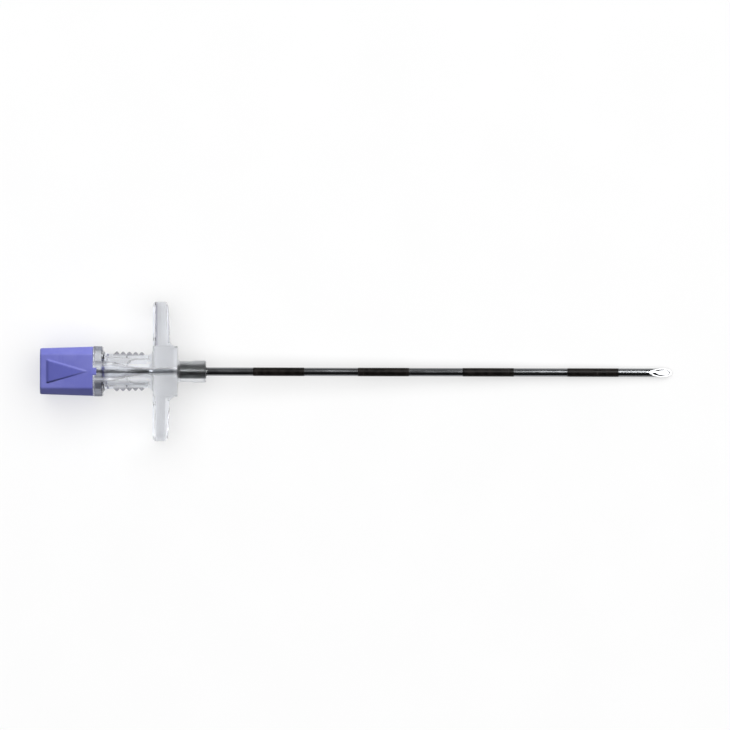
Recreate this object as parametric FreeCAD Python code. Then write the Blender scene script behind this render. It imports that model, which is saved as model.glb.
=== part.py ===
import FreeCAD, Part
import math
import os

# A single-use epidural needle, 16 gauge, lying along X with its point at +X.
# A thin-walled steel cannula is bonded into a clear moulded hub with two finger
# wings. A steel stylet fills the lumen and ends flush with the bevel. The stylet
# hangs in a violet cap that covers the hub's Luer end and is keyed to its flange.
# Four black depth marks, 10 mm long and 10 mm apart, are counted from the point.
#
# Millimetres. The origin is on the cannula's axis at the front face of the hub's
# nose, where the usable length starts. +Z is the side the bevel opens to, which
# is also the side of the cap's arrow and of the key.

V = FreeCAD.Vector
ALONG = V(1, 0, 0)

# Cannula
usable_length = 88.9
cannula_diameter = 1.60
cannula_wall = 0.16
shank_length = 6.0
shank_relief = 0.01
shank_taper = 0.01

# Point: the tube bends towards +Z, then is ground to one oval bevel
bevel_length = 4.3
bend_length = 5.0
bend_radius = 16.0

# Stylet
stylet_clearance = 0.08

# Depth marks
mark_length = 10.0
mark_pitch = 20.0
mark_count = 4
mark_coat = 0.02
mark_coat_taper = 0.003

# Bond round the roughened shank, ending in a conical glue well in the nose's face
bond_gap = 0.16
glue_well_depth = 0.7
glue_well_width = 0.35

# Nose of the hub
nose_length = 5.4
nose_radius = 1.94
nose_collar_length = 2.4
nose_collar_radius = 2.10
nose_edge = 0.15
nose_root_slope = 0.45

# Boss: a square block whose upper and lower front edges are bevelled
boss_half_width = 4.78
boss_half_height = 4.68
boss_corner = 0.45
boss_step = 1.5
boss_bevel_length = 0.75
boss_bevel_drop = 0.5

# Finger wings: plates that thin out towards their tips, with a dish in each face
wing_root_thickness = 3.15
wing_taper = 0.45
wing_half_span = 13.3
wing_half_depth = 3.9
wing_end_corner = 2.6
wing_cove = 1.30
wing_edge = 0.35
wing_dish_rim = 0.60
wing_dish_rear_depth = 0.50
wing_dish_front_depth = 0.30
wing_dish_to_boss = 0.75
wing_dish_corner = 1.6
wing_dish_edge = 0.20

# Ribbed body between wings and flange
body_length = 9.6
body_rear_half_width = 3.36
body_front_half_width = 3.12
body_rear_half_height = 3.30
body_front_half_height = 3.10
body_corner = 0.65
body_cove = 1.1
cove_sink = 0.02

# Finger ribs on both sides of the body
rib_count = 5
rib_pitch = 1.19
rib_base = 1.06
rib_height = 0.50
rib_half_length = 2.1
rib_tip_flat = 0.16
first_rib_to_flange = 2.65

# U-shaped thumb recess above and below, and two small cored pockets beside the boss
recess_half_width = 2.43
recess_corner = 2.30
recess_depth = 0.42
recess_edge = 0.22
recess_rear_to_wing = 5.55
recess_front_to_wing = 0.55
pocket_length = 0.95
pocket_width = 0.5
pocket_centre_offset = 1.62
pocket_depth = 0.75
pocket_to_wing = 0.3

# Flange with its key notch
flange_thickness = 1.8
flange_half_width = 4.78
flange_half_height = 4.68
flange_corner = 1.45
flange_edge = 0.25
flange_rim = 0.18

# Luer end behind the flange: a 6 percent cone with two locking lugs
luer_end_length = 5.0
luer_outer_radius = 3.0
luer_mouth_radius = 2.14
luer_taper = 0.03
luer_depth = 7.5
lug_radius = 3.9
lug_thickness = 1.1
lug_half_width = 1.8

# Passage from the Luer cone to the cannula
passage_clearance = 0.14
funnel_length = 7.0
funnel_steps = 5

# Stylet cap: a square moulding with cut corners, open towards the flange
cap_length = 10.05
cap_seat_gap = 0.08
cap_front_half_width = 4.70
cap_rear_half_width = 4.38
cap_front_half_height = 4.60
cap_rear_half_height = 4.30
cap_flat_half_width = 3.22
cap_flat_half_height = 3.20
cap_corner = 0.40
cap_rear_edge = 0.30
cap_end_wall = 1.6
cap_lug_clearance = 0.15

# Luer plug inside the cap, moulded round the stylet
plug_length = 4.2
plug_clearance = 0.05
plug_nose_chamfer = 0.3

# Key on the cap's front face, and its notch in the flange
key_width = 1.40
key_length = 0.70
key_height = 0.80
key_side_clearance = 0.10
key_end_clearance = 0.45

# Arrow on the cap's top face: highest at its base, flush at its apex
arrow_length = 7.5
arrow_half_base = 2.2
arrow_base_height = 0.42
arrow_apex_height = 0.06
arrow_base_run = 0.5
arrow_from_rear = 1.2
arrow_edge = 0.08

cannula_radius = cannula_diameter / 2
lumen_radius = cannula_radius - cannula_wall
stylet_radius = lumen_radius - stylet_clearance
shank_radius = cannula_radius - shank_relief
shank_rear_radius = shank_radius - shank_taper
bond_radius = cannula_radius + bond_gap
glue_well_radius = bond_radius + glue_well_width
passage_radius = stylet_radius + passage_clearance

boss_front = -nose_length
wing_front = boss_front - boss_step
wing_rear = wing_front - wing_root_thickness
flange_front = wing_rear - body_length
flange_rear = flange_front - flange_thickness
luer_mouth = flange_rear - luer_end_length
luer_cone_end = luer_mouth + luer_depth
luer_cone_end_radius = luer_mouth_radius - luer_taper * luer_depth
cap_front = flange_rear - cap_seat_gap
cap_rear = cap_front - cap_length
cap_floor = cap_rear + cap_end_wall
cap_cavity_radius = lug_radius + cap_lug_clearance
plug_radius = luer_mouth_radius - plug_clearance
plug_tip = luer_mouth + plug_length

heel = usable_length - bevel_length
bend_start = usable_length - bend_length
outer_bend = bend_radius + cannula_radius
inner_bend = bend_radius - cannula_radius
point_height = bend_radius - math.sqrt(outer_bend ** 2 - bend_length ** 2)
heel_past_bend = heel - bend_start
heel_height = bend_radius - math.sqrt(inner_bend ** 2 - heel_past_bend ** 2)
bevel_angle = math.atan2(heel_height - point_height, bevel_length)

# Cutting tools run this far past the faces that they cut
overrun = 1.0
# How far an edge's box may lie outside the range in which it is looked for
slack = 1e-3


def cylinder(radius, start, end):
    return Part.makeCylinder(radius, end - start, V(start, 0, 0), ALONG)


def block(x_span, y_span, z_span):
    corner = V(x_span[0], y_span[0], z_span[0])
    return Part.makeBox(
        x_span[1] - x_span[0], y_span[1] - y_span[0], z_span[1] - z_span[0], corner
    )


def rounded_outline(corners):
    """A closed wire through (point, radius) corners, each turned by a tangent arc."""
    arcs = {}
    ends = []
    count = len(corners)
    for index, (point, radius) in enumerate(corners):
        if radius == 0:
            ends.append((point, point))
            continue
        before = (corners[index - 1][0] - point).normalize()
        after = (corners[(index + 1) % count][0] - point).normalize()
        half_angle = before.getAngle(after) / 2
        reach = radius / math.tan(half_angle)
        bisector = (before + after).normalize()
        middle = point + bisector * (radius / math.sin(half_angle) - radius)
        start, end = point + before * reach, point + after * reach
        arcs[index] = Part.Arc(start, middle, end).toShape()
        ends.append((start, end))
    edges = []
    for index in range(count):
        if index in arcs:
            edges.append(arcs[index])
        start, end = ends[index][1], ends[(index + 1) % count][0]
        edges.append(Part.LineSegment(start, end).toShape())
    return Part.Wire(edges)


def section_outline(x, half_width, half_height, corner):
    """A rounded rectangle across the axis at x."""
    signs = [(-1, -1), (1, -1), (1, 1), (-1, 1)]
    return rounded_outline(
        [(V(x, sy * half_width, sz * half_height), corner) for sy, sz in signs]
    )


def octagon_outline(x, half_width, half_height, flat_width, flat_height, corner):
    """A rectangle with cut corners across the axis at x. The flats keep their size."""
    quarter = [(half_width, flat_height), (flat_width, half_height)]
    points = [(y, z) for y, z in quarter]
    points += [(-y, z) for y, z in reversed(quarter)]
    points += [(-y, -z) for y, z in quarter]
    points += [(y, -z) for y, z in reversed(quarter)]
    return rounded_outline([(V(x, y, z), corner) for y, z in points])


def extrude_outline(wire, direction):
    return Part.Face(wire).extrude(direction)


def half_space(point, normal, size):
    """A block whose face lies on the plane, on the side that the normal points to."""
    cube = Part.makeBox(size, size, size, V(-size / 2, -size / 2, 0))
    cube.Placement = FreeCAD.Placement(point, FreeCAD.Rotation(V(0, 0, 1), normal))
    return cube


def edges_between(shape, low, high):
    """The edges that lie wholly between two corners, give or take the slack."""
    room = FreeCAD.BoundBox(low, high)
    room.enlarge(slack)
    return [edge for edge in shape.Edges if room.isInside(edge.BoundBox)]


def turned(corners):
    """The solid that a closed outline in the XZ plane makes round the axis."""
    return Part.Face(Part.makePolygon(corners + corners[:1])).revolve(V(0, 0, 0), ALONG, 360)


# The needle


def curved_rod(radius, start):
    """A rod along the axis that bends towards +Z near the point and runs past it."""
    straight = cylinder(radius, start, bend_start)
    disc = Part.Face(Part.Wire(Part.makeCircle(radius, V(bend_start, 0, 0), ALONG)))
    sweep = math.degrees(math.asin((bend_length + overrun) / outer_bend))
    bend = disc.revolve(V(bend_start, 0, bend_radius), V(0, -1, 0), sweep)
    return straight.fuse(bend).removeSplitter()


def grind(shape):
    """Takes off what lies above the bevel's plane, which leaves a blunt oval point."""
    point = V(usable_length, 0, point_height)
    up_and_forward = V(math.sin(bevel_angle), 0, math.cos(bevel_angle))
    return shape.cut(half_space(point, up_and_forward, 4 * bevel_length))


def make_cannula():
    """The ground tube, with a roughened shank that is a touch thinner in the bond."""
    rear = V(-shank_length, 0, 0)
    shank = Part.makeCone(shank_rear_radius, shank_radius, shank_length, rear, ALONG)
    lumen = curved_rod(lumen_radius, -shank_length - overrun)
    return grind(curved_rod(cannula_radius, 0).fuse(shank).cut(lumen))


def make_stylet_wire():
    """Straight, so that it draws out, and ground underneath to the curved lumen."""
    rod = cylinder(stylet_radius, cap_floor, usable_length)
    lumen_room = curved_rod(stylet_radius, cap_floor - overrun)
    return grind(rod.common(lumen_room))


def make_depth_mark(index):
    """The coat of one mark, counted from the point. It thins a little to its rear."""
    front = usable_length - mark_length - index * mark_pitch
    rear = front - mark_length
    outer_radius = cannula_radius + mark_coat
    return turned(
        [
            V(rear, 0, cannula_radius),
            V(rear, 0, outer_radius - mark_coat_taper),
            V(front, 0, outer_radius),
            V(front, 0, cannula_radius),
        ]
    )


def make_bond():
    """Resin round the shank, flush with the nose's face in the glue well."""
    return turned(
        [
            V(-shank_length, 0, shank_rear_radius),
            V(-shank_length, 0, bond_radius),
            V(-glue_well_depth, 0, bond_radius),
            V(0, 0, glue_well_radius),
            V(0, 0, shank_radius),
        ]
    )


# The hub


def make_flange():
    outline = octagon_outline(
        flange_rear,
        flange_half_width,
        flange_half_height,
        flange_half_width - flange_corner,
        flange_half_height - flange_corner,
        flange_edge,
    )
    plate = extrude_outline(outline, ALONG * flange_thickness)
    rims = [edge for edge in plate.Edges if edge.BoundBox.XLength < slack]
    return plate.makeChamfer(flange_rim, rims)


def make_body():
    """A bar that tapers towards the wings, with its four long edges bevelled."""
    rear = (body_rear_half_width, body_rear_half_height)
    front = (body_front_half_width, body_front_half_height)
    low = (-rear[0], 0, -rear[1], -front[1], -front[0])
    high = (rear[0], body_length, rear[1], front[1], front[0])
    bar = Part.makeWedge(*low, *high)
    bar.rotate(V(0, 0, 0), V(0, 0, 1), -90)
    bar.translate(V(flange_front, 0, 0))
    long_edges = [edge for edge in bar.Edges if edge.BoundBox.XLength > slack]
    return bar.makeChamfer(body_corner, long_edges)


def make_boss():
    """The block between body and nose, seen from the side, then rounded along X."""
    flat_end = boss_front - boss_bevel_length
    front_half_height = boss_half_height - boss_bevel_drop
    upper = [
        (wing_rear, boss_half_height),
        (flat_end, boss_half_height),
        (boss_front, front_half_height),
    ]
    lower = [(x, -z) for x, z in reversed(upper)]
    side_view = [V(x, -boss_half_width, z) for x, z in upper + lower]
    wire = Part.makePolygon(side_view + side_view[:1])
    profile = extrude_outline(wire, V(0, 2 * boss_half_width, 0))
    front_view = section_outline(
        wing_rear, boss_half_width, boss_half_height, boss_corner
    )
    return profile.common(extrude_outline(front_view, ALONG * (boss_front - wing_rear)))


def make_wing_plate():
    """Both wings: the outline seen from above, trimmed by the one seen from the front."""
    half = [
        (V(boss_front, boss_half_width, 0), 0),
        (V(wing_front, boss_half_width, 0), wing_cove),
        (V(wing_front - wing_taper, wing_half_span, 0), 0),
        (V(wing_rear, wing_half_span, 0), 0),
    ]
    half = [(V(p.x, p.y, -wing_half_depth), radius) for p, radius in half]
    mirrored = [(V(p.x, -p.y, p.z), radius) for p, radius in reversed(half)]
    outline = rounded_outline(half + mirrored)
    seen_from_above = extrude_outline(outline, V(0, 0, 2 * wing_half_depth))
    front_view = section_outline(
        wing_rear - overrun, wing_half_span, wing_half_depth, wing_end_corner
    )
    trim_length = boss_front - wing_rear + 2 * overrun
    plate = seen_from_above.common(extrude_outline(front_view, ALONG * trim_length))
    rims = []
    for edge in plate.Edges:
        runs_along_x = max(edge.BoundBox.YLength, edge.BoundBox.ZLength) < slack
        if abs(edge.CenterOfMass.y) > boss_half_width + slack and not runs_along_x:
            rims.append(edge)
    rims += edges_between(
        plate,
        V(wing_rear, -boss_half_width - wing_half_span, -wing_half_depth),
        V(wing_rear, boss_half_width + wing_half_span, wing_half_depth),
    )
    return plate.makeChamfer(wing_edge, rims)


def make_wing_dish(side, front):
    """The shallow dish in one face of one wing: its outline follows the wing's own."""
    depth = wing_dish_front_depth if front else wing_dish_rear_depth
    inner = boss_half_width + wing_dish_to_boss + (wing_cove if front else 0)
    outer = wing_half_span - wing_dish_rim
    half_depth = wing_half_depth - wing_dish_rim
    middle = V(0, side * (inner + outer) / 2, 0)
    outline = section_outline(0, (outer - inner) / 2, half_depth, wing_dish_corner)
    outline.translate(middle)
    tool = extrude_outline(outline, ALONG * (depth + overrun))
    reach = V(0, wing_half_span, wing_half_depth)
    tool = tool.makeChamfer(wing_dish_edge, edges_between(tool, -reach, reach))
    if not front:
        tool.rotate(middle, V(0, 0, 1), 180)
        tool.translate(V(wing_rear + depth, 0, 0))
        return tool
    arm = wing_half_span - boss_half_width
    lean = math.degrees(math.atan2(wing_taper, arm))
    face = wing_front - wing_taper * (abs(middle.y) - boss_half_width) / arm
    tool.rotate(middle, V(0, 0, 1), side * lean)
    tool.translate(V(face - depth, 0, 0))
    return tool


def make_nose():
    """The nose with its bevelled front collar and a sloped root, turned about the axis."""
    collar_rear = -nose_collar_length
    rear = boss_front - boss_step
    root_radius = nose_radius + nose_root_slope
    return turned(
        [
            V(rear, 0, 0),
            V(rear, 0, root_radius),
            V(boss_front, 0, root_radius),
            V(boss_front + nose_root_slope, 0, nose_radius),
            V(collar_rear, 0, nose_radius),
            V(collar_rear, 0, nose_collar_radius),
            V(-nose_edge, 0, nose_collar_radius),
            V(0, 0, nose_collar_radius - nose_edge),
            V(0, 0, 0),
        ]
    )


def make_luer_end():
    tube = cylinder(luer_outer_radius, luer_mouth, flange_rear)
    disc = cylinder(lug_radius, luer_mouth, luer_mouth + lug_thickness)
    band = block(
        (luer_mouth, luer_mouth + lug_thickness),
        (-lug_radius, lug_radius),
        (-lug_half_width, lug_half_width),
    )
    return tube.fuse(disc.common(band))


def make_inner_passage():
    """Luer cone, funnel, passage, shank seat and glue well as one turned core."""
    funnel_end = luer_cone_end + funnel_length
    cone_end = V(luer_cone_end, 0, luer_cone_end_radius)
    pull = funnel_length / 3
    funnel = Part.BezierCurve()
    funnel.setPoles(
        [
            cone_end,
            cone_end + V(pull, 0, -luer_taper * pull),
            V(funnel_end - pull, 0, passage_radius),
            V(funnel_end, 0, passage_radius),
        ]
    )
    curve = [funnel.value(step / funnel_steps) for step in range(funnel_steps)]
    well_slope = glue_well_width / glue_well_depth
    corners = [
        V(funnel_end, 0, passage_radius),
        V(-shank_length, 0, passage_radius),
        V(-shank_length, 0, bond_radius),
        V(-glue_well_depth, 0, bond_radius),
        V(overrun, 0, glue_well_radius + well_slope * overrun),
        V(overrun, 0, 0),
        V(luer_mouth - overrun, 0, 0),
        V(luer_mouth - overrun, 0, luer_mouth_radius),
        V(luer_mouth, 0, luer_mouth_radius),
    ]
    return turned(corners + curve)


def body_face(x, rear_half, front_half):
    """The distance from the axis to a face of the tapering body at x."""
    share = (x - flange_front) / body_length
    return rear_half + share * (front_half - rear_half)


def make_rib(index, side):
    """One V-shaped finger rib across a side of the body."""
    x = flange_front + first_rib_to_flange + index * rib_pitch
    wall = body_face(x, body_rear_half_width, body_front_half_width)
    crest = wall + rib_height
    root = wall - rib_height / 2
    half = [(rib_base / 2, root), (rib_base / 2, wall), (rib_tip_flat / 2, crest)]
    profile = [V(x + along, side * y, -rib_half_length) for along, y in half]
    profile += [V(x - along, side * y, -rib_half_length) for along, y in reversed(half)]
    wire = Part.makePolygon(profile + profile[:1])
    return extrude_outline(wire, V(0, 0, 2 * rib_half_length))


def make_thumb_recess(side):
    """A U-shaped recess with a sloped edge, in the upper or lower face of the body."""
    rear = wing_rear - recess_rear_to_wing
    front = wing_rear - recess_front_to_wing
    middle = rear + recess_half_width
    floor = body_face(middle, body_rear_half_height, body_front_half_height) - recess_depth
    outline = rounded_outline(
        [
            (V(rear, -recess_half_width, floor), recess_corner),
            (V(front, -recess_half_width, floor), 0),
            (V(front, recess_half_width, floor), 0),
            (V(rear, recess_half_width, floor), recess_corner),
        ]
    )
    tool = extrude_outline(outline, V(0, 0, 2 * recess_depth + overrun))
    low = V(rear, -recess_half_width, floor)
    high = V(front, recess_half_width, floor)
    tool = tool.makeChamfer(recess_edge, edges_between(tool, low, high))
    if side < 0:
        tool.rotate(V(0, 0, 0), ALONG, 180)
    return tool


def make_pocket(side, across):
    """A small cored pocket at the foot of the boss."""
    front = wing_rear - pocket_to_wing
    y = across * pocket_centre_offset
    z_span = sorted(
        (side * (body_front_half_height - pocket_depth), side * flange_half_height)
    )
    return block(
        (front - pocket_length, front),
        (y - pocket_width / 2, y + pocket_width / 2),
        z_span,
    )


def make_key_notch():
    floor = cap_front_half_height - key_height - key_side_clearance
    half_width = key_width / 2 + key_side_clearance
    depth = key_length - cap_seat_gap + key_end_clearance
    return block(
        (flange_rear - overrun, flange_rear + depth),
        (-half_width, half_width),
        (floor, flange_half_height + overrun),
    )


def make_cove(face, toward):
    """A hollow quarter round from a face to the body's eight sides, mitred between them."""
    end = face + toward * body_cove
    width = body_face(end, body_rear_half_width, body_front_half_width)
    height = body_face(end, body_rear_half_height, body_front_half_height)
    bevel = (width + height - body_corner) / math.sqrt(2)
    far = 2 * boss_half_width
    base = face - toward * flange_thickness / 2
    half_way = body_cove * (1 - math.sqrt(0.5))
    cove = None
    for turn in range(8):
        side = (width, bevel, height, bevel)[turn % 4] - cove_sink
        arc_end = V(end, side, -far)
        arc_middle = V(face + toward * half_way, side + half_way, -far)
        arc_start = V(face, side + body_cove, -far)
        corners = [arc_start, V(base, side + body_cove, -far), V(base, -far, -far)]
        corners += [V(end, -far, -far), arc_end]
        arc = Part.Arc(arc_end, arc_middle, arc_start).toShape()
        wire = Part.Wire([*Part.makePolygon(corners).Edges, arc])
        prism = extrude_outline(wire, V(0, 0, 2 * far))
        prism.rotate(V(0, 0, 0), ALONG, 45 * turn)
        cove = prism if cove is None else cove.common(prism)
    return cove


def make_hub():
    sides = (-1, 1)
    coves = [make_cove(flange_front, 1), make_cove(wing_rear, -1)]
    core = make_flange().fuse([make_body(), make_boss(), make_wing_plate()] + coves)
    ribs = [make_rib(index, side) for index in range(rib_count) for side in sides]
    solid = core.fuse([make_nose(), make_luer_end()] + ribs)
    cuts = [make_inner_passage(), make_key_notch()]
    cuts += [make_thumb_recess(side) for side in sides]
    cuts += [make_pocket(side, across) for side in sides for across in sides]
    cuts += [make_wing_dish(side, front) for side in sides for front in (False, True)]
    return solid.cut(cuts).removeSplitter()


# The stylet cap


def cap_top(x):
    """The height of the cap's upper face at x."""
    share = (x - cap_rear) / cap_length
    return cap_rear_half_height + share * (cap_front_half_height - cap_rear_half_height)


def make_arrow():
    """A raised wedge: highest at its sloped base wall, almost flush at its apex."""
    foot = cap_rear + arrow_from_rear
    base = foot + arrow_base_run
    apex = base + arrow_length
    foot_top = V(foot, 0, cap_top(foot))
    base_top = V(base, 0, cap_top(base) + arrow_base_height)
    apex_top = V(apex, 0, cap_top(apex) + arrow_apex_height)
    root = foot_top.z - arrow_base_height
    corners = [
        V(foot, -arrow_half_base, root),
        V(apex, 0, root),
        V(foot, arrow_half_base, root),
    ]
    wire = Part.makePolygon(corners + corners[:1])
    wedge = extrude_outline(wire, V(0, 0, 4 * arrow_base_height))
    for start, end in ((foot_top, base_top), (base_top, apex_top)):
        along = end - start
        wedge = wedge.cut(half_space(base_top, V(-along.z, 0, along.x), 4 * cap_length))
    low = V(foot, -arrow_half_base, foot_top.z + slack)
    high = V(apex, arrow_half_base, base_top.z)
    raised = [
        edge
        for edge in edges_between(wedge, low, high)
        if edge.BoundBox.ZMin > foot_top.z + 2 * slack
    ]
    return wedge.makeChamfer(arrow_edge, raised)


def cap_side_planes():
    """A point on each of the cap's eight faces with the face's outward normal."""
    lean_y = (cap_front_half_width - cap_rear_half_width) / cap_length
    lean_z = (cap_front_half_height - cap_rear_half_height) / cap_length
    run_y = cap_front_half_width - cap_flat_half_width
    run_z = cap_front_half_height - cap_flat_half_height
    planes = []
    for sign in (-1, 1):
        planes.append((V(cap_front, sign * cap_front_half_width, 0), V(-lean_y, sign, 0)))
        planes.append((V(cap_front, 0, sign * cap_front_half_height), V(-lean_z, 0, sign)))
        for across in (-1, 1):
            corner = V(cap_front, across * cap_front_half_width, sign * cap_flat_half_height)
            normal = V(-lean_y * run_z, across * run_z, sign * run_y)
            planes.append((corner, normal))
    return planes


def make_cap_shell():
    body = block(
        (cap_rear, cap_front),
        (-cap_front_half_width, cap_front_half_width),
        (-cap_front_half_height, cap_front_half_height),
    )
    for point, normal in cap_side_planes():
        body = body.cut(half_space(point, normal, 4 * cap_length))
    long_edges = [edge for edge in body.Edges if edge.BoundBox.XLength > cap_length / 2]
    body = body.makeFillet(cap_corner, long_edges)
    corner = V(0, cap_front_half_width, cap_front_half_height)
    end = V(cap_rear, 0, 0)
    body = body.makeFillet(cap_rear_edge, edges_between(body, end - corner, end + corner))
    return body.cut(cylinder(cap_cavity_radius, cap_floor, cap_front + overrun))


def make_plug():
    """The post on the cap's end wall, ending in the Luer plug."""
    tip_radius = plug_radius - luer_taper * plug_length
    return turned(
        [
            V(cap_floor, 0, stylet_radius),
            V(cap_floor, 0, plug_radius),
            V(luer_mouth, 0, plug_radius),
            V(plug_tip - plug_nose_chamfer, 0, tip_radius + luer_taper * plug_nose_chamfer),
            V(plug_tip, 0, tip_radius - plug_nose_chamfer),
            V(plug_tip, 0, stylet_radius),
        ]
    )


def make_key():
    """A tongue that runs out of the cap's wall into the flange's notch."""
    top = cap_front_half_height - key_side_clearance
    tongue = block(
        (cap_front - key_length, cap_front + key_length),
        (-key_width / 2, key_width / 2),
        (cap_front_half_height - key_height, top),
    )
    return tongue.cut(cylinder(cap_cavity_radius, cap_floor, cap_front))


def make_cap():
    return make_cap_shell().fuse([make_plug(), make_key(), make_arrow()]).removeSplitter()


def main():
    os.makedirs("parts", exist_ok=True)
    pieces = {
        "cannula": make_cannula(),
        "stylet_wire": make_stylet_wire(),
        "bond_resin": make_bond(),
        "hub": make_hub(),
        "stylet_cap": make_cap(),
    }
    for index in range(mark_count):
        pieces[f"depth_mark_{index + 1}"] = make_depth_mark(index)
    for name, shape in pieces.items():
        print(name, len(shape.Solids), shape.isValid(), round(shape.Volume, 3))
        shape.Solids[0].exportStep(f"parts/{name}.step")


main()
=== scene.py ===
import math

import bmesh
import bpy
from mathutils import Euler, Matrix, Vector


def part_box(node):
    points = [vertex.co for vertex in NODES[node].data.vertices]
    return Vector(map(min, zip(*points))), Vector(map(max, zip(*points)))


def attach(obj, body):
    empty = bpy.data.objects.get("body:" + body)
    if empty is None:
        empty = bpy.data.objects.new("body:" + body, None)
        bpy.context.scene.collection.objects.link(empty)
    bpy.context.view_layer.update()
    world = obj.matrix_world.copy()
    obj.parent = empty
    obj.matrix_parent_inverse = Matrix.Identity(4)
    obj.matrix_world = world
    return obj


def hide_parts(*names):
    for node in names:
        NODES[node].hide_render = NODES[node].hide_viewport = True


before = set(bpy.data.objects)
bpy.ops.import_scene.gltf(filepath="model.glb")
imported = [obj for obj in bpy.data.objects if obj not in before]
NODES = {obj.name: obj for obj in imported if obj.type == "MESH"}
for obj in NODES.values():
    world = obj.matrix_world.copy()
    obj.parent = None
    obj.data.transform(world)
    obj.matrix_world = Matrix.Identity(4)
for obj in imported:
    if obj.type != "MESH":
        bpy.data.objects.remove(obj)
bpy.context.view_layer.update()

# An epidural needle lying flat, seen from straight above. Metres, in the frame of the
# solids: X runs along the needle to its point, Z up to the side that the bevel opens to.

MM = 0.001


def mm(*values):
    """Values in millimetres, given back in metres."""
    return tuple(value * MM for value in values)


# The photograph: its frame, its scale on the needle's axis, and where the axis lies in it
IMAGE_SIZE = 730
PIXELS_PER_MM = 5.237
NOSE_FACE_PIXEL = 206.0
AXIS_PIXEL_AT_CENTRE = 371.99
NEEDLE_TURN = math.radians(0.15)
CAMERA_LENS = 450.0
CAMERA_SENSOR = 36.0
CAMERA_REACH = (0.01, 20.0)

# The sheet lies under two places of the needle: the boss's lower front edge and the bend
BOSS_EDGE = Vector(mm(-6.15, 0, -4.68))
BEND_FOOT = Vector(mm(83.9, 0, -0.83))
FLOOR_HALF_SIZE = 1.5
FLOOR_GLOW = 0.46

# The studio: a grey wall on the +Y side, a dark one on the -Y side, and the directions
# between which one fades into the other
WALL_LIGHT = 0.26
DARK_WALL_LIGHT = 0.03
WALL_EDGE = (-0.20, 0.04)

# Three lights, each for its own pieces: a long softbox to the right and on the +Y side
# for the needle, a lamp on the same side for the cap, and a diffuser for the sheet
SOFTBOX_TILT = math.radians(27)
SOFTBOX_DISTANCE = 0.50
SOFTBOX_LEFT_END = 0.096
SOFTBOX_SIZE = (0.60, 0.36)
SOFTBOX_POWER = 6.6
CAP_LAMP_TILT = math.radians(34)
CAP_LAMP_DISTANCE = 0.35
CAP_LAMP_X = 0.10
CAP_LAMP_SIZE = (0.20, 0.20)
CAP_LAMP_POWER = 1.75
DIFFUSER_PLACE = (0.03, 0.38, 1.20)
DIFFUSER_SIZE = (2.4, 2.4)
DIFFUSER_POWER = 36.0

# Light has to pass the hub's walls, the resin and the recess on its way in and out
MOST_BOUNCES = 24
MOST_TRANSMISSIONS = 20
MOST_TRANSPARENCIES = 16
INDIRECT_CLAMP = 4.0

# Shading is smooth up to this crease, once points closer than the weld are joined
CREASE = math.radians(32)
WELD = 0.0005 * MM

# The ground face of the point lies past this X, its normal is this much up, and it leans
# to +X by these amounts, which the tube's wall never does
POINT_START = 84.3 * MM
BEVEL_UP = 0.9
BEVEL_LEAN = (0.10, 0.15)

# Regions that differ in finish or bear painted shade and highlights: a span of X, a span of Y and
# how soft the edges are
WHOLE_SPAN = (-1.0, 1.0)
BODY_SIDES = mm(-4.8, 4.8)
# Painted shade over the flange, bluish as a painted reflection of the violet cap
FLANGE_SHADE_REGION = (mm(-21.5, -19.6), WHOLE_SPAN, 0.10 * MM)
# Painted shade on the body's lower side
LOW_BODY_SHADE_REGION = (mm(-19.4, -10.6), mm(-3.1, -1.8), 0.60 * MM)
RIB_REGION = (mm(-17.7, -11.8), WHOLE_SPAN, 0.10 * MM)
RECESS_REGION = (mm(-15.2, -10.0), BODY_SIDES, 0.50 * MM)
BOSS_REGION = (mm(-10.4, -5.3), BODY_SIDES, 0.30 * MM)
# A dark line of painted shade on the upper wing
WING_SHADE_LINE_REGION = (mm(-9.68, -9.22), mm(4.9, 13.0), 0.10 * MM)
# Painted shade on the nose's top
NOSE_TOP_SHADE_REGION = (mm(-5.2, 0.1), mm(1.2, 2.2), 0.35 * MM)
# Painted shade on the wire where it lies in the hub's funnel
WIRE_SHADE_REGION = (mm(-15.2, -10.6), WHOLE_SPAN, 1.00 * MM)
# A painted highlight on the wire inside the boss
WIRE_HIGHLIGHT_REGION = (mm(-10.3, -6.0), WHOLE_SPAN, 0.60 * MM)
# A painted highlight along the shank's +Y side
SHANK_HIGHLIGHT_REGION = (WHOLE_SPAN, mm(0.04, 0.30), 0.08 * MM)

# Distances from the axis over which a finish fades: the flange's core, left clear of its
# painted shade and lying a little to the +Y side, the ribs' root, and the skin round the bore
FLANGE_UNSHADED_CORE = mm(2.2, 3.3)
FLANGE_UNSHADED_SHIFT = 0.9 * MM
RIB_ROOT = mm(2.85, 3.10)
BORE_SKIN = mm(2.2, 2.8)

# Painted highlights: edges of the clear plastic made to glow, though no lamp is there: a span of
# X, a span of Y and how strongly each glows
PAINTED_GLOW_EDGES = (
    (mm(-10.2, -9.68), mm(4.7, 13.4), 1.0),
    (mm(-9.85, -9.40), mm(-13.4, -4.7), 0.8),
    (mm(-7.50, -7.05), mm(4.9, 13.2), 0.9),
    (mm(-8.70, -7.30), mm(4.9, 13.2), 0.35),
    (mm(-7.80, -7.25), mm(-13.2, -5.0), 0.9),
    (mm(-6.20, -5.38), mm(-1.2, 4.9), 1.0),
    (mm(-21.6, -21.10), mm(-4.6, 4.6), 1.2),
    (mm(-21.4, -10.6), mm(0.70, 1.55), 1.1),
    (mm(-21.4, -10.6), mm(-1.75, -1.10), 0.9),
    (mm(-14.4, -10.4), mm(1.50, 2.90), 0.6),
    (mm(-5.2, 0.1), mm(-1.74, -1.26), 2.4),
)
PAINTED_GLOW_SOFTNESS = 0.15 * MM
PAINTED_GLOW_STRENGTH = 0.10
MOST_GLOW = 2.5

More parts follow.
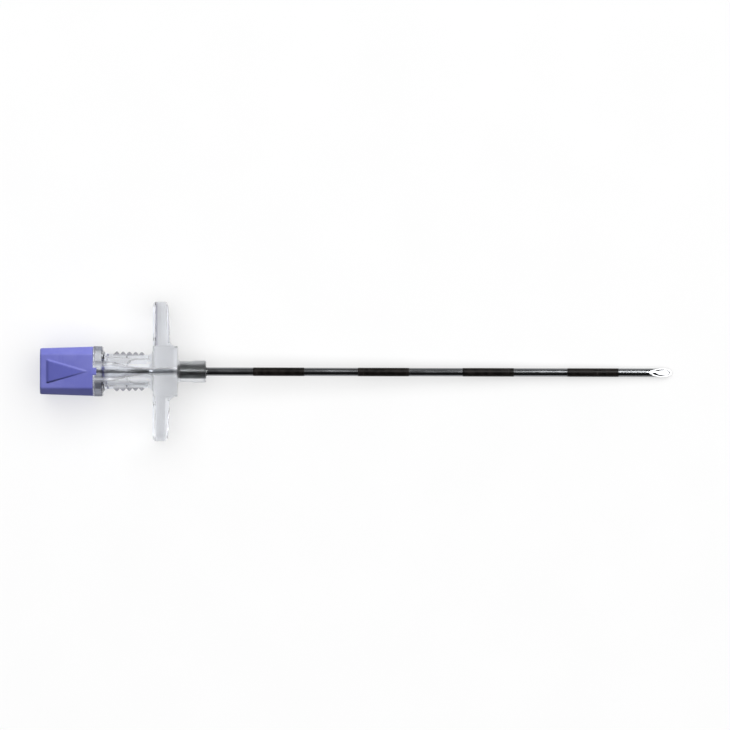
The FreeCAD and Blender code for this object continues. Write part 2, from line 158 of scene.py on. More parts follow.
# The cap: how round its edges look, and the arrow's base, apex, half base and soft edge
CAP_EDGE_RADIUS = 0.45 * MM
ARROW_BASE = -30.38 * MM
ARROW_APEX = -22.88 * MM
ARROW_HALF_BASE = 2.2 * MM
ARROW_SOFTNESS = 0.12 * MM

# The bond reaches this far into its neighbours, so that no air shows between them
RESIN_BITE = 0.006 * MM
RESIN_WELL_DEPTH = 0.7 * MM
LATHE_TURNS = 96

# The meniscus in the well dips in its middle and creeps up the tube
MENISCUS_STEPS = 12
MENISCUS_DIP = 0.14 * MM
MENISCUS_ROUNDNESS = 0.8
MENISCUS_CREEP = 0.22 * MM
MENISCUS_SHARPNESS = 6
TUBE_RADIUS = 0.80 * MM

# Depth marks, counted from the point: coats that thin out unevenly over the feather, and
# whose ends sink just under the tube's face, so that no loose rim is left there
MARK_LENGTH = 10.0 * MM
MARK_PITCH = 20.0 * MM
MARK_COUNT = 4
MARK_COAT = 0.02 * MM
MARK_FEATHER = 0.18 * MM
MARK_SINK = 0.001 * MM
MARK_SIDES = 56
MARK_RINGS = 160
MARK_UNEVENNESS = 2400.0

# Moulded skins and scratches: where their noises fade in, and how the scratches lie
CLOUD_EDGE = (0.35, 0.68)
SCRATCH_TURNS = (0.4, 1.9, 2.7)
SCRATCH_STRETCH = (1.0, 0.06, 1.0)
HANDLING_SCALE = 300.0
HANDLING_EDGE = (0.52, 0.6)
PAPER_MOTTLE = 60.0

# Colours in linear light. Of a pair, the first is where the mask is 0.
TUBE_TONES = ((0.165, 0.170, 0.177, 1), (0.25, 0.257, 0.265, 1))
WIRE_TONES = ((0.26, 0.265, 0.275, 1), (0.36, 0.365, 0.375, 1))
# Painted shade and a painted highlight on the wire inside the hub
WIRE_SHADE = (0.055, 0.056, 0.062, 1)
WIRE_HIGHLIGHT = (0.42, 0.43, 0.45, 1)
# The ground face: its own ground tone, raised pale as a painted sheen
GROUND_AND_SHEEN_TONES = ((0.68, 0.69, 0.71, 1), (0.84, 0.85, 0.87, 1))
HUB_TONES = ((0.905, 0.925, 0.968, 1), (0.95, 0.963, 0.992, 1))
# Painted shade for the hub's lower body, ribs, wing line and nose top
LOW_BODY_SHADE = (0.66, 0.68, 0.73, 1)
RIB_SHADE = (0.49, 0.49, 0.53, 1)
WING_SHADE_LINE = (0.60, 0.60, 0.68, 1)
NOSE_TOP_SHADE = (0.40, 0.42, 0.43, 1)
# Painted shade of the flange, with a painted reflection of the violet cap
FLANGE_SHADE = (0.17, 0.178, 0.22, 1)
# Colours of the painted glow at the hub's edges
NO_GLOW = (0, 0, 0, 1)
FULL_GLOW = (0.96 * MOST_GLOW, 0.98 * MOST_GLOW, MOST_GLOW, 1)
SHANK_TONES = ((0.075, 0.079, 0.078, 1), (0.17, 0.175, 0.172, 1))
# Colour of the painted highlight along the shank
SHANK_HIGHLIGHT = (0.62, 0.63, 0.62, 1)
RESIN_TONES = ((0.90, 0.90, 0.88, 1), (0.95, 0.95, 0.93, 1))
VIOLET_TONES = ((0.150, 0.160, 0.50, 1), (0.180, 0.190, 0.545, 1))
ARROW_VIOLET = (0.118, 0.128, 0.445, 1)
SCRATCHED_VIOLET = (0.45, 0.44, 0.80, 1)
COAT_TONES = ((0.003, 0.0025, 0.002, 1), (0.009, 0.007, 0.006, 1))
SCRATCHED_COAT = (0.06, 0.053, 0.05, 1)
PAPER_TONES = ((0.44, 0.44, 0.44, 1), (0.46, 0.46, 0.46, 1))
PAPER_GLOW = (1.0, 1.0, 1.0, 1)

# Roughness. Of a pair, the first is where the mask is 0. The single ones come with a mask
# of their own: smudges and the ground face add to what is there, the others are a least.
TUBE_GLOSS = (0.13, 0.20)
WIRE_GLOSS = (0.14, 0.22)
SHANK_GLOSS = (0.36, 0.22)
HUB_GLOSS = (0.07, 0.13)
RESIN_GLOSS = (0.03, 0.09)
VIOLET_GLOSS = (0.36, 0.46)
COAT_GLOSS = (0.30, 0.42)
SMUDGE_ROUGHNESS = 0.06
GROUND_ROUGHNESS = 0.28
FROST_ROUGHNESS = 0.24
BORE_ROUGHNESS = 0.36
SCUFF_ROUGHNESS = 0.25

# Shares: how metallic the ground face is, how much of the shank's painted highlight is left
# where it breaks, and how far a scratch shows
BEVEL_METAL = 0.6
LEAST_HIGHLIGHT = 0.45
VIOLET_SCRATCH_DEPTH = 0.03
COAT_SCRATCH_DEPTH = 0.3

# How strongly light bends in the clear plastic and resin, and in the violet plastic
CLEAR_IOR = 1.50
VIOLET_IOR = 1.49


class Wiring:
    """A node tree with a short way to add each kind of node."""

    def __init__(self, tree):
        self.nodes, self.links = tree.nodes, tree.links

    def feed(self, slot, value):
        """Links the socket to another node's output, or sets it to a plain value."""
        if isinstance(value, bpy.types.NodeSocket):
            self.links.new(value, slot)
        else:
            slot.default_value = value

    def add(self, kind, inputs=None, **settings):
        """A new node with its settings, and its inputs fed by name or by number."""
        node = self.nodes.new(kind)
        for label, value in settings.items():
            setattr(node, label, value)
        for label, value in (inputs or {}).items():
            self.feed(node.inputs[label], value)
        return node

    def calc(self, operation, *values, clamp=False):
        inputs = dict(enumerate(values))
        node = self.add("ShaderNodeMath", inputs, operation=operation, use_clamp=clamp)
        return node.outputs[0]

    def plus(self, first, second):
        return self.calc("ADD", first, second)

    def minus(self, first, second):
        return self.calc("SUBTRACT", first, second)

    def times(self, first, second):
        return self.calc("MULTIPLY", first, second)

    def share(self, part, whole):
        """The part over the whole, held between 0 and 1."""
        return self.calc("DIVIDE", part, whole, clamp=True)

    def least(self, first, second):
        return self.calc("MINIMUM", first, second)

    def most(self, first, second):
        return self.calc("MAXIMUM", first, second)

    def unsigned(self, value):
        return self.calc("ABSOLUTE", value)

    def split(self, vector):
        return self.add("ShaderNodeSeparateXYZ", {0: vector}).outputs

    def join(self, x, y=0.0, z=0.0):
        return self.add("ShaderNodeCombineXYZ", {"X": x, "Y": y, "Z": z}).outputs[0]

    def stretch(self, vector, along, across):
        """The vector with its X multiplied by one value, and its Y and Z by another."""
        inputs = {0: vector, 1: self.join(along, across, across)}
        return self.add("ShaderNodeVectorMath", inputs, operation="MULTIPLY").outputs[0]

    def noise(self, vector, scale, detail, roughness=0.5):
        inputs = {"Vector": vector, "Scale": scale, "Detail": detail, "Roughness": roughness}
        return self.add("ShaderNodeTexNoise", inputs).outputs["Fac"]

    def ramp(self, value, low, high, to_low=0.0, to_high=1.0):
        """Carries the value from one span to another, smoothly and held at both ends."""
        spans = {"From Min": low, "From Max": high, "To Min": to_low, "To Max": to_high}
        inputs = {"Value": value, **spans}
        node = self.add("ShaderNodeMapRange", inputs, interpolation_type="SMOOTHSTEP")
        return node.outputs["Result"]

    def between(self, mask, low, high):
        """The low value where the mask is 0, the high one where it is 1."""
        return self.ramp(mask, 0.0, 1.0, low, high)

    def mix(self, mask, first, second):
        """The first colour where the mask is 0, the second where it is 1."""
        node = self.add("ShaderNodeMix", {"Factor": mask}, data_type="RGBA")
        slots = [slot for slot in node.inputs if slot.type == "RGBA"]
        for slot, colour in zip(slots, (first, second)):
            self.feed(slot, colour)
        return next(output for output in node.outputs if output.type == "RGBA")


def add_socket(tree, name, kind, in_out, default=None):
    item = tree.interface.new_socket(name, in_out=in_out, socket_type=kind)
    if default is not None:
        item.default_value = default


def open_tree(tree):
    """The tree, its wiring, the values it is given and those it has to hand on."""
    wiring = Wiring(tree)
    given = wiring.add("NodeGroupInput").outputs
    handed_on = wiring.add("NodeGroupOutput").inputs
    return tree, wiring, given, handed_on


def shader_group(name, inputs, outputs):
    """A shader node group with float inputs, given by their usual values, and outputs."""
    group = bpy.data.node_groups.new(name, "ShaderNodeTree")
    add_socket(group, "Vector", "NodeSocketVector", "INPUT")
    for label, value in inputs.items():
        add_socket(group, label, "NodeSocketFloat", "INPUT", value)
    for label in outputs:
        add_socket(group, label, "NodeSocketFloat", "OUTPUT")
    return open_tree(group)


def make_stretched_lines():
    """Lines drawn out along X, as dies and grinding wheels leave: a mask from 0 to 1."""
    inputs = {"Across": 9000.0, "Along": 60.0, "Low": 0.35, "High": 0.65}
    group, wiring, given, handed_on = shader_group("stretched_lines", inputs, ["Lines"])
    place = wiring.stretch(given["Vector"], given["Along"], given["Across"])
    grain = wiring.noise(place, 1.0, detail=4.0, roughness=0.6)
    wiring.feed(handed_on["Lines"], wiring.ramp(grain, given["Low"], given["High"]))
    return group


def make_moulded_grain():
    """A moulded skin: fine spark texture, slow flow ripples and a soft cloudy mask."""
    inputs = {"Grain": 5200.0, "Ripple": 420.0, "Cloud": 180.0, "Ripple Share": 0.6}
    outputs = ["Height", "Cloud"]
    group, wiring, given, handed_on = shader_group("moulded_grain", inputs, outputs)
    place, share = given["Vector"], given["Ripple Share"]
    grain = wiring.noise(place, given["Grain"], detail=2.0, roughness=0.6)
    ripple = wiring.noise(place, given["Ripple"], detail=1.0, roughness=0.4)
    slow = wiring.times(ripple, share)
    fine = wiring.times(grain, wiring.minus(1.0, share))
    wiring.feed(handed_on["Height"], wiring.plus(slow, fine))
    cloud = wiring.noise(place, given["Cloud"], detail=3.0, roughness=0.55)
    wiring.feed(handed_on["Cloud"], wiring.ramp(cloud, *CLOUD_EDGE))
    return group


def make_hairlines():
    """Sparse handling scratches: thin lines where a turned wave crosses its middle."""
    inputs = {"Scale": 900.0, "Width": 0.02, "Amount": 1.0}
    group, wiring, given, handed_on = shader_group("hairlines", inputs, ["Scratch"])
    place = given["Vector"]
    lines = []
    for turn in SCRATCH_TURNS:
        turned = wiring.add("ShaderNodeMapping", {
            "Vector": place,
            "Rotation": (turn, turn * 0.5, turn),
            "Scale": SCRATCH_STRETCH,
        })
        wave = wiring.noise(turned.outputs[0], given["Scale"], detail=1.0)
        from_middle = wiring.unsigned(wiring.minus(wave, 0.5))
        lines.append(wiring.calc("LESS_THAN", from_middle, given["Width"]))
    total = wiring.most(wiring.times(lines[0], lines[1]), lines[2])
    handling = wiring.noise(place, HANDLING_SCALE, detail=2.0)
    handled = wiring.ramp(handling, *HANDLING_EDGE)
    seen = wiring.times(total, handled)
    wiring.feed(handed_on["Scratch"], wiring.times(seen, given["Amount"]))
    return group


def make_patch():
    """A mask that is 1 over a span of X and of Y, in metres, with soft edges."""
    inputs = {"Low X": 0.0, "High X": 0.001, "Low Y": -1.0, "High Y": 1.0, "Soft": 0.0001}
    group, wiring, given, handed_on = shader_group("patch", inputs, ["Mask"])
    place = wiring.split(given["Vector"])
    inside = 1.0
    for axis in "XY":
        past = wiring.minus(place[axis], given["Low " + axis])
        before = wiring.minus(given["High " + axis], place[axis])
        inside = wiring.least(inside, wiring.least(past, before))
    wiring.feed(handed_on["Mask"], wiring.share(inside, given["Soft"]))
    return group


STRETCHED_LINES = make_stretched_lines()
PATCH = make_patch()
MOULDED_GRAIN = make_moulded_grain()
HAIRLINES = make_hairlines()


class Finish(Wiring):
    """A material with one shader, whose sockets are set by name, _ for a blank."""

    def __init__(self, name, display):
        self.material = bpy.data.materials.new(name)
        self.material.use_nodes = True
        self.material.diffuse_color = display
        super().__init__(self.material.node_tree)
        self.nodes.clear()
        self.shader = self.add("ShaderNodeBsdfPrincipled")
        self.add("ShaderNodeOutputMaterial", {"Surface": self.shader.outputs["BSDF"]})
        self.place = self.add("ShaderNodeTexCoord").outputs["Object"]

    def set(self, **values):
        for label, value in values.items():
            self.feed(self.shader.inputs[label.replace("_", " ")], value)

    def use(self, group, **values):
        """The outputs of a shader group at this finish's place, with some values set."""
        inputs = {label.replace("_", " "): value for label, value in values.items()}
        node = self.add("ShaderNodeGroup", {"Vector": self.place, **inputs}, node_tree=group)
        return node.outputs

    def patch(self, x_span, y_span, soft):
        spans = {"Low_X": x_span[0], "High_X": x_span[1], "Low_Y": y_span[0], "High_Y": y_span[1]}
        return self.use(PATCH, **spans, Soft=soft)["Mask"]

    def bump(self, height, strength, distance):
        inputs = {"Strength": strength, "Distance": distance, "Height": height}
        node = self.add("ShaderNodeBump", inputs)
        self.set(Normal=node.outputs["Normal"])
        return node


def bevel_mask(finish):
    """1 on the ground face of the point, which looks up and lies past its heel."""
    past = finish.calc("GREATER_THAN", finish.split(finish.place)["X"], POINT_START)
    normal = finish.split(finish.add("ShaderNodeNewGeometry").outputs["True Normal"])
    lean = finish.ramp(normal["X"], *BEVEL_LEAN)
    up = finish.calc("GREATER_THAN", normal["Z"], BEVEL_UP)
    return finish.times(past, finish.times(lean, up))


def drawn_steel(name, tones, gloss, painted_regions=()):
    """Drawn stainless tube or wire, ground at the point, with painted shade and highlights by
    region.
    """
    finish = Finish(name, tones[1])
    lines = finish.use(STRETCHED_LINES)["Lines"]
    grinding = finish.use(STRETCHED_LINES, Across=30000.0, Along=2500.0)["Lines"]
    smudge = finish.use(MOULDED_GRAIN, Cloud=350.0)["Cloud"]
    bevel = bevel_mask(finish)
    colour = finish.mix(lines, *tones)
    # Painted shade and highlights, laid over the steel's own tones by region
    for painted_region, tone in painted_regions:
        colour = finish.mix(finish.patch(*painted_region), colour, tone)
    worn = finish.plus(finish.between(lines, *gloss), finish.times(smudge, SMUDGE_ROUGHNESS))
    # The ground face's rougher finish is its own; its pale colour with less metal paints its
    # sheen
    finish.set(
        Base_Color=finish.mix(bevel, colour, finish.mix(grinding, *GROUND_AND_SHEEN_TONES)),
        Roughness=finish.plus(worn, finish.times(bevel, GROUND_ROUGHNESS)),
        Metallic=finish.between(bevel, 1.0, BEVEL_METAL),
    )
    height = finish.plus(lines, finish.times(bevel, grinding))
    finish.bump(height, strength=0.08, distance=0.001 * MM)
    return finish.material


def clear_moulding():
    """The hub's clear plastic, with ripples, haze and scratches: frosted on the boss, the
    ribs and the recess, painted darker with shade in places, darkest at the flange, and
    painted with glowing highlights at some edges."""
    finish = Finish("clear_moulding", (0.9, 0.92, 0.94, 0.4))
    skin = finish.use(MOULDED_GRAIN, Grain=2600.0, Ripple=520.0)
    scratch = finish.use(HAIRLINES)["Scratch"]
    place = finish.split(finish.place)
    across = finish.unsigned(place["Y"])
    from_axis = finish.most(across, finish.unsigned(place["Z"]))
    from_unshaded_core = finish.unsigned(finish.minus(place["Y"], FLANGE_UNSHADED_SHIFT))
    ribs = finish.times(finish.patch(*RIB_REGION), finish.ramp(across, *RIB_ROOT))
    # Painted shade over the flange, fading out at its core round the bore
    flange_shade = finish.times(finish.patch(*FLANGE_SHADE_REGION), finish.ramp(from_unshaded_core, *FLANGE_UNSHADED_CORE))
    bore = finish.minus(1.0, finish.ramp(from_axis, *BORE_SKIN))

    colour = finish.mix(skin["Cloud"], *HUB_TONES)
    # Painted shade, laid over the plastic's own tone region by region
    for mask, painted_shade in (
        (finish.patch(*LOW_BODY_SHADE_REGION), LOW_BODY_SHADE),
        (ribs, RIB_SHADE),
        (finish.patch(*WING_SHADE_LINE_REGION), WING_SHADE_LINE),
        (finish.patch(*NOSE_TOP_SHADE_REGION), NOSE_TOP_SHADE),
        (flange_shade, FLANGE_SHADE),
    ):
        colour = finish.mix(mask, colour, painted_shade)

    frosted = finish.most(finish.patch(*BOSS_REGION), ribs)
    frosted = finish.most(frosted, finish.patch(*RECESS_REGION))
    frost = finish.times(frosted, FROST_ROUGHNESS)
    frost = finish.most(frost, finish.times(bore, BORE_ROUGHNESS))
    haze = finish.between(skin["Cloud"], *HUB_GLOSS)
    haze = finish.most(haze, finish.times(scratch, SCUFF_ROUGHNESS))

    # Painted highlights: the listed edges glow with their own light
    glow = 0.0
    for x_span, y_span, amount in PAINTED_GLOW_EDGES:
        glowing_edge = finish.patch(x_span, y_span, PAINTED_GLOW_SOFTNESS)
        glow = finish.most(glow, finish.times(glowing_edge, amount / MOST_GLOW))

    finish.set(
        Base_Color=colour,
        Roughness=finish.most(haze, frost),
        Transmission_Weight=1.0,
        IOR=CLEAR_IOR,
        Emission_Color=finish.mix(glow, NO_GLOW, FULL_GLOW),
        Emission_Strength=PAINTED_GLOW_STRENGTH,
    )
    finish.bump(skin["Height"], strength=0.12, distance=0.02 * MM)
    return finish.material


def bonding_resin():
    """Clear resin drawn thin over the etched shank: dark, with the steel's own gloss and
    a broken highlight painted along its +Y side."""
    finish = Finish("bonding_resin", (0.12, 0.12, 0.12, 1))
    skin = finish.use(MOULDED_GRAIN, Grain=3000.0, Ripple=900.0, Cloud=700.0)
    etched = finish.use(STRETCHED_LINES, Across=5000.0, Along=700.0)["Lines"]
    mottled = finish.times(skin["Cloud"], etched)
    # Painted highlight, broken up by the skin's clouds
    highlight = finish.patch(*SHANK_HIGHLIGHT_REGION)
    broken_highlight = finish.times(highlight, finish.between(skin["Cloud"], LEAST_HIGHLIGHT, 1.0))
    finish.set(
        Base_Color=finish.mix(broken_highlight, finish.mix(mottled, *SHANK_TONES), SHANK_HIGHLIGHT),
        Roughness=finish.between(mottled, *SHANK_GLOSS),
        Metallic=0.85,
    )
    finish.bump(skin["Height"], strength=0.3, distance=0.01 * MM)
    return finish.material


def clear_resin():
    """The same resin where it stands free in the well: clear, a little yellow and wavy."""
    finish = Finish("clear_resin", (0.9, 0.9, 0.86, 0.4))
    skin = finish.use(MOULDED_GRAIN, Grain=4000.0, Ripple=1200.0, Cloud=900.0)
    finish.set(
        Base_Color=finish.mix(skin["Cloud"], *RESIN_TONES),
        Roughness=finish.between(skin["Cloud"], *RESIN_GLOSS),
        Transmission_Weight=1.0,
        IOR=CLEAR_IOR,
    )
    finish.bump(skin["Height"], strength=0.3, distance=0.01 * MM)
    return finish.material


def arrow_mask(finish):
    """1 on the cap's arrow, a triangle whose apex points along the needle."""
    place = finish.split(finish.place)
    slope = ARROW_HALF_BASE / (ARROW_APEX - ARROW_BASE)
    half_width = finish.times(finish.minus(ARROW_APEX, place["X"]), slope)
    beside = finish.minus(half_width, finish.unsigned(place["Y"]))
    before = finish.minus(place["X"], ARROW_BASE)
    return finish.share(finish.least(beside, before), ARROW_SOFTNESS)


def violet_moulding():
    """The cap's violet plastic: satin, slightly translucent, with a fine moulded grain.
    Its arrow is a shade deeper, and its edges look rounded."""
    finish = Finish("violet_moulding", (0.21, 0.20, 0.62, 1))
    skin = finish.use(MOULDED_GRAIN, Grain=7000.0, Ripple=600.0, Ripple_Share=0.25)
    scratch = finish.use(HAIRLINES)["Scratch"]
    colour = finish.mix(skin["Cloud"], *VIOLET_TONES)
    colour = finish.mix(arrow_mask(finish), colour, ARROW_VIOLET)
    marked = finish.times(scratch, VIOLET_SCRATCH_DEPTH)
    finish.set(
        Base_Color=finish.mix(marked, colour, SCRATCHED_VIOLET),
        Roughness=finish.between(skin["Cloud"], *VIOLET_GLOSS),
        Specular_IOR_Level=0.3,
        IOR=VIOLET_IOR,
        Subsurface_Weight=0.08,
        Subsurface_Radius=(0.8, 0.8, 1.6),
        Subsurface_Scale=0.8 * MM,
    )
    relief = finish.bump(skin["Height"], strength=0.3, distance=0.012 * MM)
    rounded = finish.add("ShaderNodeBevel", {"Radius": CAP_EDGE_RADIUS}, samples=8)
    finish.feed(relief.inputs["Normal"], rounded.outputs["Normal"])
    return finish.material


def black_coat():
    """The baked black coat of a depth mark, brownish where it is thin."""
    finish = Finish("black_coat", (0.02, 0.017, 0.014, 1))
    grain = {"Grain": 9000.0, "Ripple": 1600.0, "Cloud": 900.0, "Ripple_Share": 0.4}
    skin = finish.use(MOULDED_GRAIN, **grain)
    scratch = finish.use(HAIRLINES, Scale=1500.0)["Scratch"]
    colour = finish.mix(skin["Cloud"], *COAT_TONES)
    marked = finish.times(scratch, COAT_SCRATCH_DEPTH)
    finish.set(
        Base_Color=finish.mix(marked, colour, SCRATCHED_COAT),
        Roughness=finish.between(skin["Cloud"], *COAT_GLOSS),
        Specular_IOR_Level=0.14,
    )
    finish.bump(skin["Height"], strength=0.3, distance=0.006 * MM)
    return finish.material


def pale_paper():
    """The sheet's paper, lit a little from below."""
    finish = Finish("pale_paper", (0.9, 0.9, 0.9, 1))
    tone = finish.noise(finish.place, PAPER_MOTTLE, detail=2.0)
    finish.set(
        Base_Color=finish.mix(tone, *PAPER_TONES),
        Roughness=0.9,
        Specular_IOR_Level=0.1,
        Emission_Color=PAPER_GLOW,
        Emission_Strength=FLOOR_GLOW,
    )
    return finish.material


def smooth(piece):
    for polygon in piece.data.polygons:
        polygon.use_smooth = True


def smooth_by_angle(piece):
    """Smooth shading up to the crease. Only modifiers are added to a solid's mesh."""
    smooth(piece)
    weld = piece.modifiers.new("weld", "WELD")
    weld.merge_threshold = WELD
    split = piece.modifiers.new("crease", "EDGE_SPLIT")
    split.split_angle = CREASE


def dress(name, material):
    """Gives one of the solids its finish and its shading."""
    piece = NODES[name]
    piece.data.materials.clear()
    piece.data.materials.append(material)
    smooth_by_angle(piece)


def add_object(name, data):
    """A new object in the scene, which holds a mesh, a light or a camera."""
    thing = bpy.data.objects.new(name, data)
    bpy.context.scene.collection.objects.link(thing)
    return thing


def read_shank():
    """The resin's rear end, its radius there and the shank's, from the solid's own mesh."""
    mesh = NODES["bond_resin"].data
    rear = min(vertex.co.x for vertex in mesh.vertices)
    rings = [math.hypot(v.co.y, v.co.z) for v in mesh.vertices if v.co.x < rear + RESIN_BITE]
    return rear, max(rings), min(rings)


def lathe(name, outline):
    """A closed ring mesh: an outline of (x, radius) points turned about the X axis."""
    vertices, faces = [], []
    count = len(outline)
    for turn in range(LATHE_TURNS):
        angle = 2 * math.pi * turn / LATHE_TURNS
        vertices += [(x, r * math.cos(angle), r * math.sin(angle)) for x, r in outline]
    for turn in range(LATHE_TURNS):
        here, there = turn * count, (turn + 1) % LATHE_TURNS * count
        for index in range(count):
            after = (index + 1) % count
            faces.append((here + index, there + index, there + after, here + after))
    mesh = bpy.data.meshes.new(name)
    mesh.from_pydata(vertices, [], faces)
    work = bmesh.new()
    work.from_mesh(mesh)
    bmesh.ops.recalc_face_normals(work, faces=work.faces)
    work.to_mesh(mesh)
    work.free()
    return add_object(name, mesh)


def meniscus(face, rim, tube):
    """The resin's free surface, from the well's rim in to the tube, as (x, radius) points."""
    points = []
    for step in range(MENISCUS_STEPS + 1):
        share = step / MENISCUS_STEPS
        dip = MENISCUS_DIP * math.sin(math.pi * share) ** MENISCUS_ROUNDNESS
        creep = MENISCUS_CREEP * share ** MENISCUS_SHARPNESS
        points.append((face - (dip - creep), rim + (tube - rim) * share))
    return points


def make_resin(sleeve_finish, well_finish):
    """The bond, wetted into the hub's wall: a sleeve on the shank and a meniscus in the well."""
    rear, bond, shank = read_shank()
    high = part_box("bond_resin")[1]
    face, well = high[0], high[1]
    sleeve = lathe("bond_sleeve", [
        (rear, shank - RESIN_BITE),
        (rear, bond + RESIN_BITE),
        (face, bond + RESIN_BITE),
        (face, shank - RESIN_BITE),
    ])
    fill = lathe("bond_well_fill", [
        (face - RESIN_WELL_DEPTH, bond + RESIN_BITE),
        *meniscus(face, well + RESIN_BITE, TUBE_RADIUS),
        (face, TUBE_RADIUS - RESIN_BITE),
        (face - RESIN_WELL_DEPTH, bond - RESIN_BITE),
    ])
    for piece, finish in ((sleeve, sleeve_finish), (fill, well_finish)):
        piece.data.materials.append(finish)
        smooth_by_angle(piece)
        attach(piece, "needle")
    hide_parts("bond_resin")
    return [sleeve, fill]


def geometry_tree(name, inputs):
    """A geometry node tree with a geometry in and out, and inputs given by their kinds."""
    tree = bpy.data.node_groups.new(name, "GeometryNodeTree")
    add_socket(tree, "Geometry", "NodeSocketGeometry", "INPUT")
    for label, kind in inputs.items():
        add_socket(tree, label, kind, "INPUT")
    add_socket(tree, "Geometry", "NodeSocketGeometry", "OUTPUT")
    return open_tree(tree)


def make_coat_tree():
    """Sleeves of one length at even steps towards -X, thinning to nothing at their ends."""
    number, whole, finish = "NodeSocketFloat", "NodeSocketInt", "NodeSocketMaterial"
    tree, wiring, given, handed_on = geometry_tree("depth_coats", {
        "First Middle": number, "Pitch": number, "Count": whole, "Length": number,
        "Radius": number, "Coat": number, "Feather": number, "Finish": finish,
    })
    sleeve = wiring.add("GeometryNodeMeshCylinder", {
        "Vertices": MARK_SIDES, "Side Segments": MARK_RINGS,
        "Radius": given["Radius"], "Depth": given["Length"],
    }, fill_type="NONE")
    laid = wiring.add("GeometryNodeTransform", {
        "Geometry": sleeve.outputs["Mesh"], "Rotation": (0, math.pi / 2, 0),
    })

    # How far each point stands from the nearer end, less an uneven part of the feather,
    # is the share of the coat that it gets
    place = wiring.add("GeometryNodeInputPosition").outputs[0]
    from_middle = wiring.unsigned(wiring.split(place)["X"])
    to_end = wiring.minus(wiring.times(given["Length"], 0.5), from_middle)
    wander = wiring.times(wiring.noise(place, MARK_UNEVENNESS, detail=2.0), given["Feather"])
    share = wiring.share(wiring.minus(to_end, wander), given["Feather"])
    coat = wiring.minus(wiring.times(share, given["Coat"]), MARK_SINK)
    scale = wiring.calc("DIVIDE", wiring.plus(given["Radius"], coat), given["Radius"])
    shaped = wiring.add("GeometryNodeSetPosition", {
        "Geometry": laid.outputs["Geometry"], "Position": wiring.stretch(place, 1.0, scale),
    })

    row = wiring.add("GeometryNodeMeshLine", {
        "Count": given["Count"],
        "Start Location": wiring.join(given["First Middle"]),
        "Offset": wiring.join(wiring.times(given["Pitch"], -1.0)),
    })
    copies = wiring.add("GeometryNodeInstanceOnPoints", {
        "Points": row.outputs["Mesh"], "Instance": shaped.outputs["Geometry"],
    })
    real = wiring.add("GeometryNodeRealizeInstances", {
        "Geometry": copies.outputs["Instances"],
    })
    finished = wiring.add("GeometryNodeSetMaterial", {
        "Geometry": real.outputs["Geometry"], "Material": given["Finish"],
    })
    wiring.feed(handed_on["Geometry"], finished.outputs["Geometry"])
    return tree


def grow(name, tree, values):
    """The plain mesh that a geometry tree makes from its named values."""
    piece = add_object(name, bpy.data.meshes.new(name + "_holder"))
    modifier = piece.modifiers.new("grow", "NODES")
    modifier.node_group = tree
    for item in tree.interface.items_tree:
        if item.item_type == "SOCKET" and item.in_out == "INPUT" and item.name in values:
            modifier[item.identifier] = values[item.name]
    ready = piece.evaluated_get(bpy.context.evaluated_depsgraph_get())
    mesh = bpy.data.meshes.new_from_object(ready)
    piece.modifiers.remove(modifier)
    piece.data = mesh
    return piece


def make_depth_coats(material):
    """The four coats, read from the place of the first one, feathered at their ends."""
    low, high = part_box("depth_mark_1")
    values = {
        "First Middle": (low[0] + high[0]) / 2, "Pitch": MARK_PITCH, "Count": MARK_COUNT,
        "Length": MARK_LENGTH, "Radius": high[1] - MARK_COAT, "Coat": MARK_COAT,
        "Feather": MARK_FEATHER, "Finish": material,
    }
    piece = grow("depth_coats", make_coat_tree(), values)
    smooth(piece)
    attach(piece, "needle")
    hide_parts(*[f"depth_mark_{index + 1}" for index in range(MARK_COUNT)])
    return piece


def make_finishes():
    """Dresses the solids, and gives the pieces added to them."""
    # The wire's painted shade and painted highlight
    wire_shade_and_highlight = ((WIRE_SHADE_REGION, WIRE_SHADE), (WIRE_HIGHLIGHT_REGION, WIRE_HIGHLIGHT))
    dress("cannula", drawn_steel("cannula_steel", TUBE_TONES, TUBE_GLOSS))
    dress("stylet_wire", drawn_steel("stylet_steel", WIRE_TONES, WIRE_GLOSS, wire_shade_and_highlight))
    dress("hub", clear_moulding())
    dress("stylet_cap", violet_moulding())
    return [*make_resin(bonding_resin(), clear_resin()), make_depth_coats(black_coat())]


def make_floor():
    """A pale, lightly back-lit sheet under the needle, through the places it touches."""
    slope = math.atan2(BEND_FOOT.z - BOSS_EDGE.z, BEND_FOOT.x - BOSS_EDGE.x)
    half = FLOOR_HALF_SIZE
    mesh = bpy.data.meshes.new("pale_floor")
    corners = [(-half, -half, 0), (half, -half, 0), (half, half, 0), (-half, half, 0)]
    mesh.from_pydata(corners, [], [(0, 1, 2, 3)])
    mesh.materials.append(pale_paper())
    floor = add_object("pale_floor", mesh)
    floor.location = BOSS_EDGE
    floor.rotation_euler = Euler((0, -slope, 0))
    return floor


def over_needle(x, distance, tilt):
    """The place at X that lies this far from the needle, leaning to +Y by the tilt."""
    return x, distance * math.sin(tilt), distance * math.cos(tilt)


def add_area_light(name, place, tilt, size, power, lit_pieces):
    """A soft panel, tilted about X towards the needle, that lights only some pieces."""
    data = bpy.data.lights.new(name, "AREA")
    data.shape = "RECTANGLE"
    data.size, data.size_y = size
    data.energy = power
    light = add_object(name, data)
    light.location = place
    light.rotation_euler = (-tilt, 0, 0)
    lit = bpy.data.collections.new(name + "_lights")
    for piece in lit_pieces:
        lit.objects.link(piece)
    light.light_linking.receiver_collection = lit


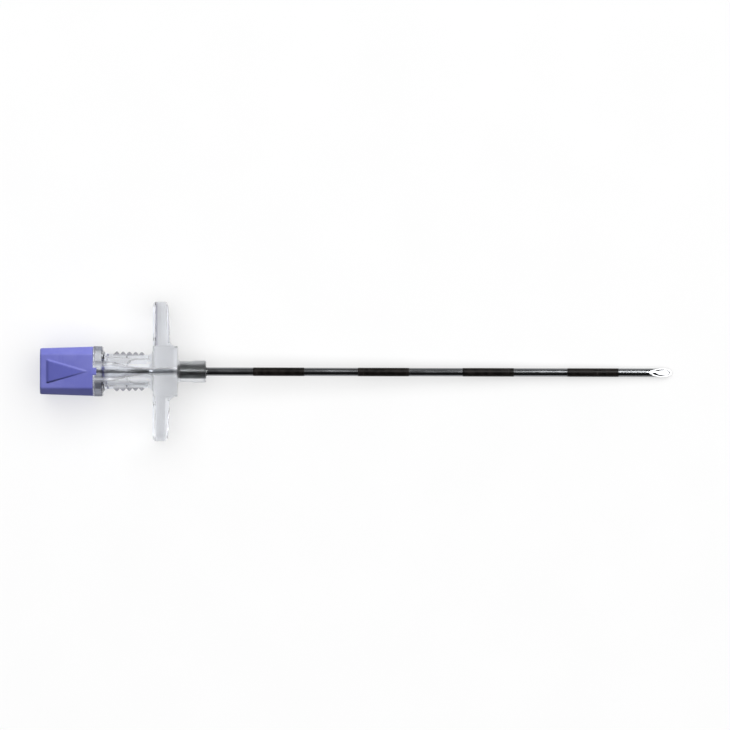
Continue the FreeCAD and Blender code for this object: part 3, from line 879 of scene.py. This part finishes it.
def make_light(floor, added):
    """The three lights, each with the pieces that it lights."""
    cap = NODES["stylet_cap"]
    others = [NODES[name] for name in sorted(NODES) if name != "stylet_cap"] + added
    softbox_x = SOFTBOX_LEFT_END + SOFTBOX_SIZE[0] / 2
    over_point = over_needle(softbox_x, SOFTBOX_DISTANCE, SOFTBOX_TILT)
    over_cap = over_needle(CAP_LAMP_X, CAP_LAMP_DISTANCE, CAP_LAMP_TILT)
    add_area_light("softbox", over_point, SOFTBOX_TILT, SOFTBOX_SIZE, SOFTBOX_POWER, others)
    add_area_light("cap_lamp", over_cap, CAP_LAMP_TILT, CAP_LAMP_SIZE, CAP_LAMP_POWER, [cap])
    add_area_light("diffuser", DIFFUSER_PLACE, 0, DIFFUSER_SIZE, DIFFUSER_POWER, [floor])


def make_world():
    """A dim studio, grey on one side of the needle and dark on the other."""
    world = bpy.data.worlds.new("studio")
    world.use_nodes = True
    world.node_tree.nodes.clear()
    wiring = Wiring(world.node_tree)
    direction = wiring.add("ShaderNodeTexCoord").outputs["Generated"]
    side = wiring.split(direction)["Y"]
    walls = wiring.ramp(side, *WALL_EDGE, DARK_WALL_LIGHT, WALL_LIGHT)
    background = wiring.add("ShaderNodeBackground", {"Strength": walls})
    wiring.add("ShaderNodeOutputWorld", {"Surface": background.outputs[0]})
    bpy.context.scene.world = world


def make_camera():
    """Straight above, turned so that the needle lies in the frame as it was seen."""
    width = IMAGE_SIZE / PIXELS_PER_MM * MM
    distance = width * CAMERA_LENS / CAMERA_SENSOR
    centre_x = (IMAGE_SIZE / 2 - NOSE_FACE_PIXEL) / PIXELS_PER_MM * MM
    centre_y = (AXIS_PIXEL_AT_CENTRE - IMAGE_SIZE / 2) / PIXELS_PER_MM * MM
    data = bpy.data.cameras.new("camera")
    data.lens = CAMERA_LENS
    data.sensor_width = CAMERA_SENSOR
    data.clip_start, data.clip_end = CAMERA_REACH
    camera = add_object("camera", data)
    camera.location = (centre_x, centre_y, distance)
    camera.rotation_euler = Euler((0, 0, NEEDLE_TURN))
    bpy.context.scene.camera = camera


def set_light_paths():
    """Enough bounces for the clear pieces, and a plain display of values."""
    scene = bpy.context.scene
    scene.cycles.max_bounces = MOST_BOUNCES
    scene.cycles.transmission_bounces = MOST_TRANSMISSIONS
    scene.cycles.transparent_max_bounces = MOST_TRANSPARENCIES
    scene.cycles.sample_clamp_indirect = INDIRECT_CLAMP
    scene.cycles.use_denoising = True
    scene.view_settings.view_transform = "Standard"


make_camera()
added = make_finishes()
floor = make_floor()
make_world()
make_light(floor, added)
set_light_paths()
